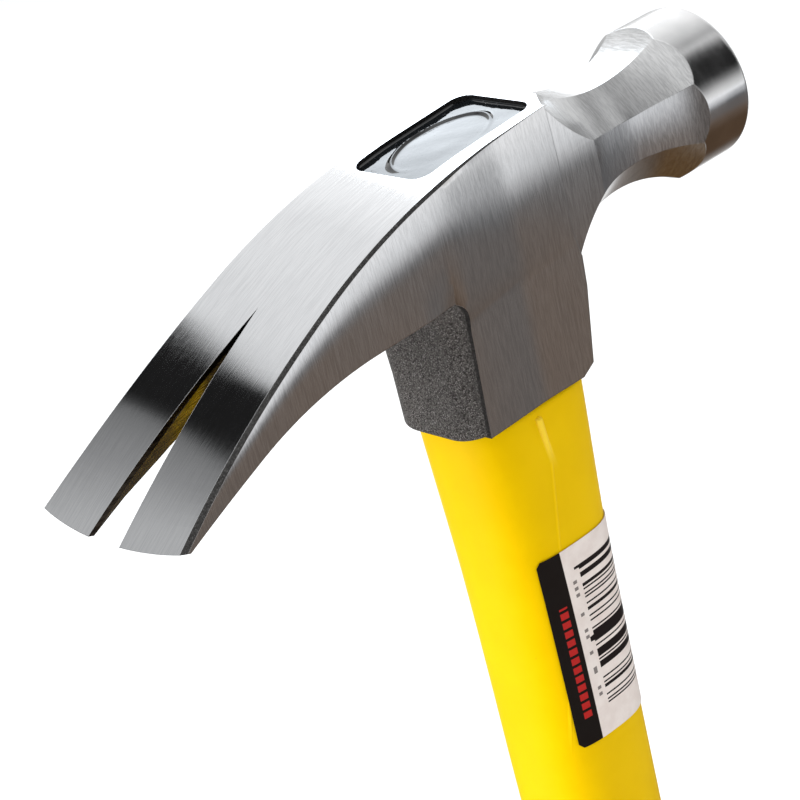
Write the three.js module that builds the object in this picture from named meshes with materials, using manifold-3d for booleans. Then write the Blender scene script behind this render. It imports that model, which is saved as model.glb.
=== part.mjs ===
// A 16 oz rip-claw hammer: forged steel head, fibreglass core in a moulded yellow jacket,
// epoxy bond in the eye, rubber grip and one wrapped label.
// Millimetres. +Z runs up the handle and the origin is the centre of the butt's flat end.
// The striking face looks along +X, the claw reaches towards -X, and the cheeks face +Y and -Y.

import * as THREE from 'three';
import { mergeVertices } from 'three/addons/utils/BufferGeometryUtils.js';
import Module from 'manifold-3d';

const wasm = await Module();
wasm.setup();

// ---- driving dimensions ----

const EYE_TOP = 329;            // butt to the middle of the eye's top edge
const GAP = 0.3;                // clearance between pieces that touch

// head, with drops measured down from the eye's top edge
const BELL_RADIUS = 13.3;
const NECK_DROP = 12.9;         // to the axis of the neck and bell
const NECK_AXIS = EYE_TOP - NECK_DROP;
const CHEEK = 11.05;            // half width over the ground cheeks at the eye
const SKIRT_DROP = 44.2;        // to the bottom of the socket skirt
const BODY_REAR = 12.5;         // where the neck takes over from the body

// claw
const degrees = THREE.MathUtils.degToRad;
const TOP_SLOPE = degrees(4.2);
const KNEE_X = -2;              // the top edge starts to bend here
const KNEE = { radius: 112, slope: degrees(23.6) };
const CLAW = { radius: 245, slope: degrees(34) };
const UNDER_DROP = 20.4;        // to the level stretch under the claw
const UNDER_BEND_X = -32;
const UNDER = { radius: 80, slope: degrees(19) };
const ROOT_FILLET = 3.5;        // between the claw and the skirt
const TIP_X = -78.2;
const TIP_DROP = 31.05;         // to the chisel edge
const TIP_RADIUS = 31.5;        // level plan radius of the end faces
const TIP_BEVEL = -2.8;         // run over rise of the end faces
const FLARE = [0.0739, -0.00109, 0.00001353];
const SLOT_APEX_X = -41.6;
const SLOT_HALF_WIDTH = 3.75;   // at the tips
const SLOT_LAND = 0.9;          // depth of the upright biting edge
const SLOT_UNDER = 4.85;        // half width where the relief leaves the underside

// neck and bell
const FACE_X = 55.5;
const FACE_FLAT = 4;            // radius of the flat middle of the crowned face
const WAIST_X = 31;
const WAIST_INRADIUS = 9;
const WAIST_HOLLOW = 26;        // concave radius of the facets along the neck

// eye and what fills it
const EYE_LENGTH = 25.5;
const EYE_WIDTH = 16.5;
const EYE_CORNER = 2.8;
const POOL_DEPTH = 1.4;         // epoxy surface below the rim
const CORE = { a: 8.5, b: 5, n: 3 };
const CORE_TOP = EYE_TOP - 5;

// handle
const JACKET_TOP = EYE_TOP - SKIRT_DROP - GAP;
const GRIP_FLOOR = 12;          // solid rubber under the handle's end
const GRIP_TOP = 130;
const HANDLE_END = GRIP_FLOOR + GAP;
const RIB_TOP = EYE_TOP - 46.4;
const RIB_LENGTH = 8;

// label
const LABEL_TOP = EYE_TOP - 70.2;
const LABEL_LENGTH = 36.1;
const LABEL_EDGE_X = -8.7;      // its long edge on the -Y side
const LABEL_THICKNESS = 0.25;
const LABEL_LIFT = 0.12;        // above the jacket's surface

// ---- geometry helpers ----

function toSolid(geometry) {
  const bare = geometry.clone();
  bare.deleteAttribute('normal');
  bare.deleteAttribute('uv');
  const merged = mergeVertices(bare, 1e-4);
  return new wasm.Manifold(new wasm.Mesh({
    numProp: 3,
    vertProperties: new Float32Array(merged.attributes.position.array),
    triVerts: new Uint32Array(merged.index.array),
  }));
}

function toMesh(name, solid, color, roughness, metalness) {
  const { vertProperties, triVerts } = solid.getMesh();
  const geometry = new THREE.BufferGeometry();
  geometry.setAttribute('position', new THREE.BufferAttribute(vertProperties, 3));
  geometry.setIndex(new THREE.BufferAttribute(triVerts, 1));
  geometry.computeVertexNormals();
  const material = new THREE.MeshStandardMaterial({ color, roughness, metalness });
  const mesh = new THREE.Mesh(geometry, material);
  mesh.name = name;
  return mesh;
}

// Skins rings that follow one another, anticlockwise seen from the last one. Each ring is convex
// or at least wholly in sight of its first point.
function loft(rings) {
  const count = rings[0].length;
  const points = rings.flat();
  const faces = [];
  for (let ring = 0; ring < rings.length - 1; ring += 1) {
    for (let i = 0; i < count; i += 1) {
      const next = (i + 1) % count;
      const low = ring * count;
      const high = low + count;
      faces.push(low + i, low + next, high + next, low + i, high + next, high + i);
    }
  }
  const last = (rings.length - 1) * count;
  for (let i = 1; i < count - 1; i += 1) {
    faces.push(0, i + 1, i, last, last + i, last + i + 1);
  }
  const geometry = new THREE.BufferGeometry().setFromPoints(points);
  geometry.setIndex(faces);
  return toSolid(geometry);
}

// Extrudes an outline given as [x, z] points to the same distance on both sides of y = 0.
function sideSlab(outline, halfWidth) {
  const shape = new THREE.Shape(outline.map(([x, z]) => new THREE.Vector2(x, z)));
  const geometry = new THREE.ExtrudeGeometry(shape, { depth: 2 * halfWidth, bevelEnabled: false });
  geometry.rotateX(Math.PI / 2);
  geometry.translate(0, halfWidth, EYE_TOP);
  return toSolid(geometry);
}

// Extrudes an outline given as [x, y] points from one height to another.
function planSlab(outline, bottom, top, shear = 0) {
  const shape = new THREE.Shape(outline.map(([x, y]) => new THREE.Vector2(x, y)));
  const geometry = new THREE.ExtrudeGeometry(shape, { depth: top - bottom, bevelEnabled: false });
  geometry.applyMatrix4(new THREE.Matrix4().makeShear(0, 0, 0, 0, shear, 0));
  geometry.translate(0, 0, bottom);
  return toSolid(geometry);
}

function range(from, to, steps) {
  return Array.from({ length: steps + 1 }, (_, i) => from + ((to - from) * i) / steps);
}

// Points of a curve that runs towards -X and bends down from one slope to another.
function downBend([x, z], radius, slope, endSlope, steps) {
  return range(slope, endSlope, steps).map((angle) => [
    x - radius * (Math.sin(angle) - Math.sin(slope)),
    z - radius * (Math.cos(slope) - Math.cos(angle)),
  ]);
}

// The corners start at +X +Y and run anticlockwise. Only the second may differ, as farCorner.
function roundedRectangle(xLow, xHigh, halfWidth, corner, z, farCorner = corner) {
  const steps = 4;
  const corners = [
    [xHigh - corner, halfWidth - corner, corner],
    [xLow + farCorner, halfWidth - farCorner, farCorner],
    [xLow + corner, corner - halfWidth, corner],
    [xHigh - corner, corner - halfWidth, corner],
  ];
  return corners.flatMap(([x, y, radius], quarter) => (
    range(quarter, quarter + 1, steps).map((turn) => {
      const angle = (turn * Math.PI) / 2;
      return new THREE.Vector3(x + radius * Math.cos(angle), y + radius * Math.sin(angle), z);
    })
  ));
}

// One point of a superellipse section, moved out along its normal by the offset.
function sectionPoint({ a, b, n, x = 0 }, angle, z, offset = 0) {
  const c = Math.cos(angle);
  const s = Math.sin(angle);
  const px = a * Math.sign(c) * Math.abs(c) ** (2 / n);
  const py = b * Math.sign(s) * Math.abs(s) ** (2 / n);
  const nx = (Math.sign(px) * Math.abs(px / a) ** (n - 1)) / a;
  const ny = (Math.sign(py) * Math.abs(py / b) ** (n - 1)) / b;
  const length = Math.hypot(nx, ny);
  return new THREE.Vector3(x + px + (offset * nx) / length, py + (offset * ny) / length, z);
}

function sectionRing(section, z, sides, offset = 0) {
  return range(0, 2 * Math.PI, sides).slice(0, -1)
    .map((angle) => sectionPoint(section, angle, z, offset));
}

// Reads a list of stations { z, ...values } at any height, joined by straight lines.
function between(stations, z) {
  const upper = stations.findIndex((station) => station.z >= z);
  const index = upper === -1 ? stations.length - 1 : Math.max(upper, 1);
  const low = stations[index - 1];
  const high = stations[index];
  const share = (z - low.z) / (high.z - low.z);
  const mix = (key) => low[key] + (high[key] - low[key]) * share;
  return Object.fromEntries(Object.keys(low).map((key) => [key, mix(key)]));
}

// ---- head ----

function topAt(x) {
  return x * Math.tan(TOP_SLOPE);
}

// Half width over the cheeks, which widen steadily towards the tips of the claw.
function cheekHalfWidth(x) {
  const run = Math.max(0, -x);
  const [linear, square, cube] = FLARE;
  return CHEEK + linear * run + square * run ** 2 + cube * run ** 3;
}

// Runs a curve on to the given x at a fixed slope.
function runOn(points, x, slope) {
  const [lastX, lastZ] = points.at(-1);
  return [...points, [x, lastZ + (x - lastX) * Math.tan(slope)]];
}

// The claw's upper and lower outlines, from the body out past the tips.
function clawTop() {
  const knee = downBend([KNEE_X, topAt(KNEE_X)], KNEE.radius, TOP_SLOPE, KNEE.slope, 8);
  const claw = downBend(knee.at(-1), CLAW.radius, KNEE.slope, CLAW.slope, 6);
  return runOn([...knee, ...claw.slice(1)], TIP_X - 0.6, CLAW.slope);
}

function clawUnderside() {
  const bend = downBend([UNDER_BEND_X, -UNDER_DROP], UNDER.radius, 0, UNDER.slope, 8);
  return runOn(bend, TIP_X - 0.6, UNDER.slope);
}

// Height of an outline that runs towards -X, read at x.
function heightAt(outline, x) {
  const after = outline.findIndex(([px]) => px <= x);
  const [x1, z1] = outline[after];
  const [x0, z0] = outline[after - 1];
  return z0 + ((z1 - z0) * (x - x0)) / (x1 - x0);
}

// Side view of the body, claw and ground cheek, relative to the eye's top edge.
function cheekOutline() {
  const skirtFront = -12.5;
  const fillet = range(Math.PI / 2, 0, 5).map((angle) => [
    skirtFront - ROOT_FILLET + ROOT_FILLET * Math.cos(angle),
    -UNDER_DROP - ROOT_FILLET + ROOT_FILLET * Math.sin(angle),
  ]);
  return [
    [BODY_REAR, topAt(BODY_REAR)],
    ...clawTop(),
    ...clawUnderside().reverse(),
    ...fillet,
    [-13.6, -SKIRT_DROP],
    [8.5, -SKIRT_DROP],
    [11.1, 1.5 - SKIRT_DROP],
    [13.1, -30],
    [13.4, -25],
    [BODY_REAR, -UNDER_DROP],
  ];
}

// Plan view of the cheeks and the flared sides of the claw.
function cheekPlan() {
  const rear = BODY_REAR + 20;
  const side = range(0, TIP_X - 5, 12).map((x) => [x, cheekHalfWidth(x)]);
  const mirrored = side.map(([x, y]) => [x, -y]).reverse();
  return [[rear, CHEEK], ...side, ...mirrored, [rear, -CHEEK]];
}

// What lies outside the rounded far front corner of the cheeks, where they run down the skirt.
// It follows the skirt's own corner at the front and opens out to run off the cheek at the side.
function cornerCutter() {
  const past = 3;
  const clearance = 0.05;
  const opening = 1.2;
  const stations = [
    { drop: SKIRT_DROP + 5, x: -8, y: 2.05, radius: 8.5 },
    { drop: SKIRT_DROP, x: -8, y: 2.05, radius: 8.5 },
    { drop: 30, x: -10.5, y: 6.05, radius: 4.5 },
    { drop: 24, x: -10.9, y: 6.05, radius: 4.5 },
  ];
  return loft(stations.map(({ drop, x, y, radius }) => {
    const arc = range(Math.PI, Math.PI / 2, 12).map((angle) => {
      const share = Math.max(0, 3 - 4 * angle / Math.PI);
      const reach = radius + clearance + opening * share ** 2;
      return [x + reach * Math.cos(angle), y + reach * Math.sin(angle)];
    });
    const [left, back] = [x - radius - past, y + radius + past];
    const outline = [[left, back], [left, y], ...arc, [x, back]];
    return outline.map(([px, py]) => new THREE.Vector3(px, py, EYE_TOP - drop));
  }));
}

// Everything behind the convex chisel edge, leaning so that the end faces are bevelled.
function tipEnvelope() {
  const reach = 18;
  const halfAngle = Math.asin(reach / TIP_RADIUS);
  const arc = range(-halfAngle, halfAngle, 12).map((angle) => [
    TIP_X + TIP_RADIUS * (1 - Math.cos(angle)),
    -TIP_RADIUS * Math.sin(angle),
  ]);
  const [, side] = arc[0];
  const rear = 400;
  const bottom = EYE_TOP - SKIRT_DROP - 5;
  const shift = -TIP_BEVEL * (EYE_TOP - TIP_DROP - bottom);
  const outline = [...arc, [rear, -side], [rear, side]];
  const moved = outline.map(([x, y]) => [x + shift, y]).reverse();
  return planSlab(moved, bottom, EYE_TOP + 5, TIP_BEVEL);
}

// A sharp V through the claw with upright edges on top, relieved to a wider slot underneath.
function nailSlot() {
  const end = TIP_X - 10;
  const half = (x) => (SLOT_HALF_WIDTH * (SLOT_APEX_X - x)) / (SLOT_APEX_X - TIP_X);
  const vee = [[end, -half(end)], [SLOT_APEX_X, 0], [end, half(end)]];
  const top = clawTop();
  const underside = clawUnderside();
  const tips = TIP_X - 0.5;
  const middle = -60;
  const shoulder = -50;
  const land = [
    { x: tips, half: half(tips) },
    { x: middle, half: half(middle) },
    { x: shoulder, half: half(shoulder) },
    { x: SLOT_APEX_X, half: 0 },
  ].map(({ x, half: y }) => ({ x, y, z: heightAt(top, x) - SLOT_LAND }));
  const relief = [
    { x: tips, y: SLOT_UNDER },
    { x: middle, y: SLOT_UNDER },
    { x: shoulder, y: SLOT_UNDER - 1 },
    { x: SLOT_APEX_X, y: 0 },
  ].map(({ x, y }) => ({ x, y, z: heightAt(underside, x) }));
  const ring = (side, past) => {
    const right = side.map(({ x, y, z }) => new THREE.Vector3(x, y, EYE_TOP + z - past));
    const left = right.slice(0, -1).map(({ x, y, z }) => new THREE.Vector3(x, -y, z));
    return [...left, ...right.reverse()];
  };
  const flare = loft([ring(relief, 0.5), ring(land, 0)]);
  return planSlab(vee, EYE_TOP - SKIRT_DROP, EYE_TOP + 1).add(flare);
}

// The as-forged skirt stands a little proud of the ground cheeks' edges, front and back.
function forgedSkirt() {
  const halfWidth = CHEEK - 0.5;
  const corner = 4.5;
  const stations = [
    { drop: SKIRT_DROP, front: -16.5, rear: 12.6, far: 8.5 },
    { drop: 30, front: -15, rear: 14.3, far: 4.5 },
    { drop: 25, front: -15.4, rear: 14.5, far: 4.5 },
    { drop: 22, front: -16.8, rear: 14, far: 4.5 },
    { drop: 20.2, front: -19, rear: 13, far: 4.5 },
    { drop: 16, front: -19, rear: 12, far: 4.5 },
  ];
  return loft(stations.map(({ drop, front, rear, far }) => (
    roundedRectangle(front, rear, halfWidth, corner, EYE_TOP - drop, far)
  )));
}

// Distance from the neck's axis to each of its eight hollow facets.
function neckInradius(x) {
  return WAIST_INRADIUS + WAIST_HOLLOW - Math.sqrt(WAIST_HOLLOW ** 2 - (x - WAIST_X) ** 2);
}

function octagonalNeck() {
  const start = BODY_REAR - 0.1;
  const end = FACE_X + 1;
  return loft(range(start, end, 24).map((x) => {
    const radius = neckInradius(x) / Math.cos(Math.PI / 8);
    return range(0.5, 7.5, 7).map((eighth) => {
      const angle = (eighth * Math.PI) / 4;
      return new THREE.Vector3(x, radius * Math.cos(angle), NECK_AXIS + radius * Math.sin(angle));
    });
  }));
}

// A round envelope about the neck's axis: clear of the neck, then the bell and crowned face.
function bellEnvelope() {
  const profile = [
    [0, BODY_REAR - 5], [30, BODY_REAR - 5], [30, 26], [BELL_RADIUS, 30],
    [BELL_RADIUS, FACE_X - 1.1], [13, FACE_X - 0.6], [12.1, FACE_X - 0.3], [8, FACE_X - 0.1],
    [FACE_FLAT, FACE_X], [0, FACE_X],
  ];
  const geometry = new THREE.LatheGeometry(profile.map(([r, x]) => new THREE.Vector2(r, x)), 48);
  geometry.rotateZ(-Math.PI / 2);
  geometry.translate(0, 0, NECK_AXIS);
  return toSolid(geometry);
}

// Keeps the neck inside the ground top and cheeks where it runs into the body.
function neckClip() {
  const low = -50;
  const front = BODY_REAR - 5;
  const split = 26;
  const ground = sideSlab([
    [front, topAt(front)], [front, low], [split, low], [split, topAt(split)],
  ], CHEEK);
  const free = sideSlab([[split - 2, 20], [split - 2, low], [FACE_X + 5, low], [FACE_X + 5, 20]], 30);
  return ground.add(free);
}

function eyeHole() {
  const half = EYE_LENGTH / 2;
  const ring = (drop) => roundedRectangle(-half, half, EYE_WIDTH / 2, EYE_CORNER, EYE_TOP - drop);
  return loft([ring(SKIRT_DROP + 5), ring(-5)]);
}

function hammerHead() {
  const claw = sideSlab(cheekOutline(), 30)
    .intersect(planSlab(cheekPlan(), EYE_TOP - 60, EYE_TOP + 10))
    .intersect(tipEnvelope())
    .subtract(nailSlot())
    .subtract(cornerCutter());
  const neck = octagonalNeck().intersect(bellEnvelope()).intersect(neckClip());
  return claw.add(forgedSkirt()).add(neck).subtract(eyeHole());
}

// ---- handle ----

const JACKET_SIDES = 40;
const JACKET = [
  { z: HANDLE_END, a: 10.4, b: 9.4, n: 2.6, x: 0 },
  { z: GRIP_TOP, a: 10.4, b: 9.4, n: 2.6, x: 0 },
  { z: 160, a: 10.7, b: 9.8, n: 2.7, x: -0.2 },
  { z: 214, a: 11.1, b: 10.2, n: 2.9, x: -0.6 },
  { z: 234, a: 11.2, b: 10.3, n: 3, x: -0.6 },
  { z: 254, a: 11.45, b: 10.3, n: 3.2, x: -0.6 },
  { z: 269, a: 11.9, b: 10.3, n: 3.6, x: -0.6 },
  { z: JACKET_TOP - 1, a: 12.1, b: 10.3, n: 4.6, x: -0.6 },
  { z: JACKET_TOP, a: 11.6, b: 9.8, n: 4.6, x: -0.6 },
];

function fibreglassCore() {
  const ring = (z) => sectionRing(CORE, z, 24);
  return loft([ring(HANDLE_END), ring(CORE_TOP)]);
}

// The gate mark under the head: a slim rib that tapers and sinks into the jacket.
function mouldRib() {
  const rings = range(0, 1, 5).map((share) => {
    const z = RIB_TOP - RIB_LENGTH + RIB_LENGTH * share;
    const halfWidth = 0.3 + 0.5 * share;
    const proud = 0.45 * share;
    const x = -1.2 - 1.1 * share;
    const surface = sectionPoint(between(JACKET, z), 1.5 * Math.PI, z).y;
    return [
      new THREE.Vector3(x - halfWidth, surface - proud / 2, z),
      new THREE.Vector3(x, surface - proud, z),
      new THREE.Vector3(x + halfWidth, surface - proud / 2, z),
      new THREE.Vector3(x + halfWidth, surface + 1, z),
      new THREE.Vector3(x - halfWidth, surface + 1, z),
    ];
  });
  return loft(rings);
}

function handleJacket() {
  const tube = loft(JACKET.map((station) => sectionRing(station, station.z, JACKET_SIDES)));
  const hole = (z) => sectionRing(CORE, z, 24, GAP);
  return tube.add(mouldRib()).subtract(loft([hole(0), hole(EYE_TOP)]));
}

// Resin cast round the core in the eye, with its pool just under the sloping rim.
function epoxyBond() {
  const half = EYE_LENGTH / 2 - GAP;
  const bottom = EYE_TOP - SKIRT_DROP;
  const ring = (z) => roundedRectangle(-half, half, EYE_WIDTH / 2 - GAP, EYE_CORNER - GAP, z);
  const pool = ring(EYE_TOP - POOL_DEPTH);
  pool.forEach((point) => point.setZ(point.z + topAt(point.x)));
  const socket = (z) => sectionRing(CORE, z, 24, GAP);
  return loft([ring(bottom), pool]).subtract(loft([socket(bottom - 1), socket(CORE_TOP + GAP)]));
}

function gripSleeve() {
  const stations = [
    { z: 0, a: 15.2, b: 11.6, n: 2.4, x: 0 },
    { z: 1.5, a: 17.2, b: 13.6, n: 2.4, x: 0 },
    { z: 5, a: 18.2, b: 14.4, n: 2.4, x: 0 },
    { z: 12, a: 18, b: 14.3, n: 2.4, x: 0 },
    { z: 24, a: 16, b: 13.6, n: 2.4, x: 0 },
    { z: 45, a: 15.2, b: 13.2, n: 2.4, x: 0 },
    { z: 72, a: 16, b: 13.6, n: 2.4, x: 0 },
    { z: 98, a: 15, b: 13, n: 2.4, x: 0 },
    { z: 118, a: 13.4, b: 12, n: 2.5, x: 0 },
    { z: GRIP_TOP - 1.5, a: 12.6, b: 11.5, n: 2.6, x: 0 },
    { z: GRIP_TOP, a: 11.8, b: 10.8, n: 2.6, x: 0 },
  ];
  const skin = loft(stations.map((station) => sectionRing(station, station.z, JACKET_SIDES)));
  const bore = (z) => sectionRing(JACKET[0], z, JACKET_SIDES, GAP);
  return skin.subtract(loft([bore(GRIP_FLOOR), bore(GRIP_TOP + 5)]));
}

// A thin sheet that follows the jacket from the -Y side round to the +X side.
function barcodeLabel() {
  const step = (2 * Math.PI) / JACKET_SIDES;
  const { a, n, x } = between(JACKET, LABEL_TOP);
  const first = 2 * Math.PI - Math.acos(-(((x - LABEL_EDGE_X) / a) ** (n / 2)));
  const angles = [first];
  for (let angle = Math.ceil(first / step) * step; angle < 2 * Math.PI + step / 2; angle += step) {
    angles.push(angle);
  }
  const strip = (z, offset) => angles.map((angle) => (
    sectionPoint(between(JACKET, z), angle, z, offset)
  ));
  const ring = (z) => [
    ...strip(z, LABEL_LIFT + LABEL_THICKNESS),
    ...strip(z, LABEL_LIFT).reverse(),
  ];
  const levels = [LABEL_TOP - LABEL_LENGTH, 234, 254, LABEL_TOP].map(ring);
  const width = levels[0].length;
  const columns = width / 2;
  const faces = [];
  for (let level = 0; level < levels.length - 1; level += 1) {
    for (let i = 0; i < width; i += 1) {
      const next = (i + 1) % width;
      const low = level * width;
      const high = low + width;
      faces.push(low + i, low + next, high + next, low + i, high + next, high + i);
    }
  }
  const top = (levels.length - 1) * width;
  for (let i = 0; i < columns - 1; i += 1) {
    const inner = width - 1 - i;
    faces.push(i, inner, inner - 1, i, inner - 1, i + 1);
    faces.push(top + i, top + i + 1, top + inner - 1, top + i, top + inner - 1, top + inner);
  }
  const geometry = new THREE.BufferGeometry().setFromPoints(levels.flat());
  geometry.setIndex(faces);
  return toSolid(geometry);
}

const hammer = new THREE.Group();
hammer.add(
  toMesh('hammer_head', hammerHead(), 0xb4b5b7, 0.32, 1),
  toMesh('fiberglass_core', fibreglassCore(), 0xd9d0a8, 0.5, 0),
  toMesh('handle_jacket', handleJacket(), 0xffdf00, 0.38, 0),
  toMesh('epoxy_bond', epoxyBond(), 0x08090b, 0.06, 0),
  toMesh('grip_sleeve', gripSleeve(), 0x1a1a1b, 0.75, 0),
  toMesh('barcode_label', barcodeLabel(), 0xe9e6e2, 0.4, 0),
);

export default hammer;
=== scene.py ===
"""Looks for the rip hammer: a ground steel head bonded to a jacketed fibreglass handle.

Lengths in the shape code are millimetres in the shared frame and turn into metres where a mesh is made.
"""

import math

import bpy
import numpy as np
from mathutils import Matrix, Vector


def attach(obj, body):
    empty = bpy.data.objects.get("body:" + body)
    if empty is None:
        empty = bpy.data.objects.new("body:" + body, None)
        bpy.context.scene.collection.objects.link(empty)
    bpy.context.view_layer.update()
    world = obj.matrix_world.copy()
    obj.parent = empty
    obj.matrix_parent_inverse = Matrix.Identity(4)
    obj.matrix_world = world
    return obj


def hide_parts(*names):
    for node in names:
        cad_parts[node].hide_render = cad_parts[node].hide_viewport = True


MM = 0.001
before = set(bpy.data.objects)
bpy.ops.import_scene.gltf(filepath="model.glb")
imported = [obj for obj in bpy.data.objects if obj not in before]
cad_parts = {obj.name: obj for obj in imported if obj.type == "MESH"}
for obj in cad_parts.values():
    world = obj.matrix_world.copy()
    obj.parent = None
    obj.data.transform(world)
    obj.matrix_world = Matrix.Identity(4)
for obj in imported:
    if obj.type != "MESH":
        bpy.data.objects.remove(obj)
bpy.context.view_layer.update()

# ---- driving dimensions, the same as the CAD's where it has them ----

EYE_TOP = 329.0
CHEEK = 11.05
SKIRT_DROP = 44.2
BODY_REAR = 12.5
TOP_SLOPE = math.radians(4.2)
KNEE_X = -2.0
KNEE_RADIUS, KNEE_SLOPE = 112.0, math.radians(23.6)
CLAW_RADIUS, CLAW_SLOPE = 245.0, math.radians(34.0)
UNDER_DROP = 20.4
UNDER_BEND_X = -32.0
UNDER_RADIUS, UNDER_SLOPE = 80.0, math.radians(19.0)
ROOT_FILLET = 3.5
TIP_X, TIP_DROP, TIP_RADIUS, TIP_BEVEL = -78.2, 31.05, 31.5, -2.8
SLOT_APEX_X, SLOT_HALF_WIDTH, SLOT_LAND, SLOT_UNDER = -41.6, 3.75, 0.9, 4.85
NECK_AXIS = EYE_TOP - 12.9
NECK_CROWN = 0.009  # rounding across a ground facet, as a share of the inradius
BELL_RADIUS = 13.3
FACE_X = 55.5
WAIST_X, WAIST_INRADIUS, WAIST_HOLLOW = 31.0, 9.0, 26.0
EYE_LENGTH, EYE_WIDTH, EYE_CORNER = 25.5, 16.5, 2.8
POOL_DEPTH, POOL_RISE = 1.4, 0.45  # the poured surface rises above the CAD's plain top
JACKET_BOTTOM, JACKET_TOP = 12.3, EYE_TOP - SKIRT_DROP - 0.3
RIB_TOP, RIB_LENGTH = EYE_TOP - 46.2, 8.2
LABEL_TOP, LABEL_LENGTH = EYE_TOP - 70.2, 36.1
GRIP_TOP = 130.0
HEAD_CENTRE = (0, 0, EYE_TOP - 15)

# Head materials by slot number.
SLOT_COUNT = 9
TOP, SIDE, EDGE, ROUGH, NECK, BELL, WALL, SLOT, UNDER = range(SLOT_COUNT)


# ---- mesh helpers ----

def make_object(name, points, faces, slots=None, smooth_angle=None):
    """A mesh object from points in millimetres, with an optional material slot per face."""
    mesh = bpy.data.meshes.new(name)
    mesh.from_pydata([tuple(MM * c for c in p) for p in points], [], [tuple(f) for f in faces])
    if slots is not None:
        mesh.polygons.foreach_set("material_index", np.asarray(slots, dtype=np.int32))
    mesh.update()
    obj = bpy.data.objects.new(name, mesh)
    bpy.context.scene.collection.objects.link(obj)
    if smooth_angle is not None:
        smooth_by_angle(obj, smooth_angle)
    return obj


def smooth_by_angle(obj, degrees):
    obj.data.polygons.foreach_set("use_smooth", np.ones(len(obj.data.polygons), dtype=bool))
    obj.data.set_sharp_from_angle(angle=math.radians(degrees))


def loft(name, rings, side_slots=0, cap_slot=0):
    """Skins rings of equal length, closed at both ends, anticlockwise seen from the last ring.

    side_slots is one slot number or one for each edge of the ring.
    """
    count = len(rings[0])
    points = [p for ring in rings for p in ring]
    per_edge = [side_slots] * count if isinstance(side_slots, int) else list(side_slots)
    faces = []
    slots = []
    for low in range(0, (len(rings) - 1) * count, count):
        for i in range(count):
            following = (i + 1) % count
            faces.append((low + i, low + following, low + count + following, low + count + i))
            slots.append(per_edge[i])
    last = (len(rings) - 1) * count
    faces.append(tuple(range(count - 1, -1, -1)))
    faces.append(tuple(range(last, last + count)))
    slots += [cap_slot, cap_slot]
    return make_object(name, points, faces, slots)


def combine(obj, other, operation):
    """Applies an exact boolean to obj and removes the other object.

    Faces keep their slot numbers only where both meshes have the same slots.
    """
    for mesh in (obj.data, other.data):
        while len(mesh.materials) < SLOT_COUNT:
            mesh.materials.append(None)
    modifier = obj.modifiers.new(operation, "BOOLEAN")
    modifier.operation = operation
    modifier.solver = "EXACT"
    modifier.material_mode = "INDEX"
    modifier.object = other
    depsgraph = bpy.context.evaluated_depsgraph_get()
    result = bpy.data.meshes.new_from_object(obj.evaluated_get(depsgraph))
    obj.modifiers.clear()
    obj.data = result
    bpy.data.objects.remove(other)
    return obj


def down_bend(start, radius, slope, end_slope, steps):
    """Points of a curve that runs towards -X and bends down from one slope to another."""
    x, z = start
    return [
        (x - radius * (math.sin(a) - math.sin(slope)), z - radius * (math.cos(slope) - math.cos(a)))
        for a in np.linspace(slope, end_slope, steps + 1)
    ]


def run_on(points, x, slope):
    """Adds a straight stretch as far as x."""
    last_x, last_z = points[-1]
    return points + [(x, last_z + (x - last_x) * math.tan(slope))]


def rounded_rectangle(x_low, x_high, half_width, corner, z, far_corner=None):
    """A ring at height z. The corner towards -X and +Y may have a radius of its own."""
    steps = 10
    far = corner if far_corner is None else far_corner
    corners = [
        (x_high - corner, half_width - corner, corner),
        (x_low + far, half_width - far, far),
        (x_low + corner, corner - half_width, corner),
        (x_high - corner, corner - half_width, corner),
    ]
    return [
        (x + r * math.cos(a), y + r * math.sin(a), z)
        for quarter, (x, y, r) in enumerate(corners)
        for a in np.linspace(quarter, quarter + 1, steps + 1) * math.pi / 2
    ]


def circle_angles(steps):
    return np.linspace(0, 2 * math.pi, steps + 1)[:-1]


def grid_border(rows, columns):
    """Indices round the edge of a grid of points that was written row by row."""
    border = list(range(columns)) + [r * columns + columns - 1 for r in range(1, rows)]
    border += [rows * columns - 1 - c for c in range(1, columns)]
    return border + [r * columns for r in range(rows - 2, 0, -1)]


def edge_wall(border, depth):
    """Faces that join a grid's border to the same points of a second layer, depth indices later."""
    return [(j, i, depth + i, depth + j) for i, j in zip(border, border[1:] + border[:1])]


def section_point(section, angle, z, offset=0.0):
    """A point of a superellipse section (a, b, n, x), moved out along its normal."""
    a, b, n, x = section
    c, s = math.cos(angle), math.sin(angle)
    px = a * math.copysign(abs(c) ** (2 / n), c)
    py = b * math.copysign(abs(s) ** (2 / n), s)
    nx = math.copysign(abs(px / a) ** (n - 1), px) / a
    ny = math.copysign(abs(py / b) ** (n - 1), py) / b
    length = math.hypot(nx, ny)
    return (x + px + offset * nx / length, py + offset * ny / length, z)


def smooth_station(stations, z):
    """Reads stations (z, a, b, n, x) at a height, along a smooth curve through them."""
    heights = [s[0] for s in stations]
    index = min(max(np.searchsorted(heights, z), 1), len(stations) - 1)
    low, high = stations[index - 1], stations[index]
    share = (z - low[0]) / (high[0] - low[0])
    before = stations[max(index - 2, 0)]
    after = stations[min(index + 1, len(stations) - 1)]
    values = []
    for k in range(1, 5):
        rise = high[0] - low[0]
        start = (high[k] - before[k]) / (high[0] - before[0]) * rise
        end = (after[k] - low[k]) / (after[0] - low[0]) * rise
        t, t2, t3 = share, share**2, share**3
        values.append(
            (2 * t3 - 3 * t2 + 1) * low[k] + (t3 - 2 * t2 + t) * start
            + (3 * t2 - 2 * t3) * high[k] + (t3 - t2) * end
        )
    return values


# ---- head shape ----

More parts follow.
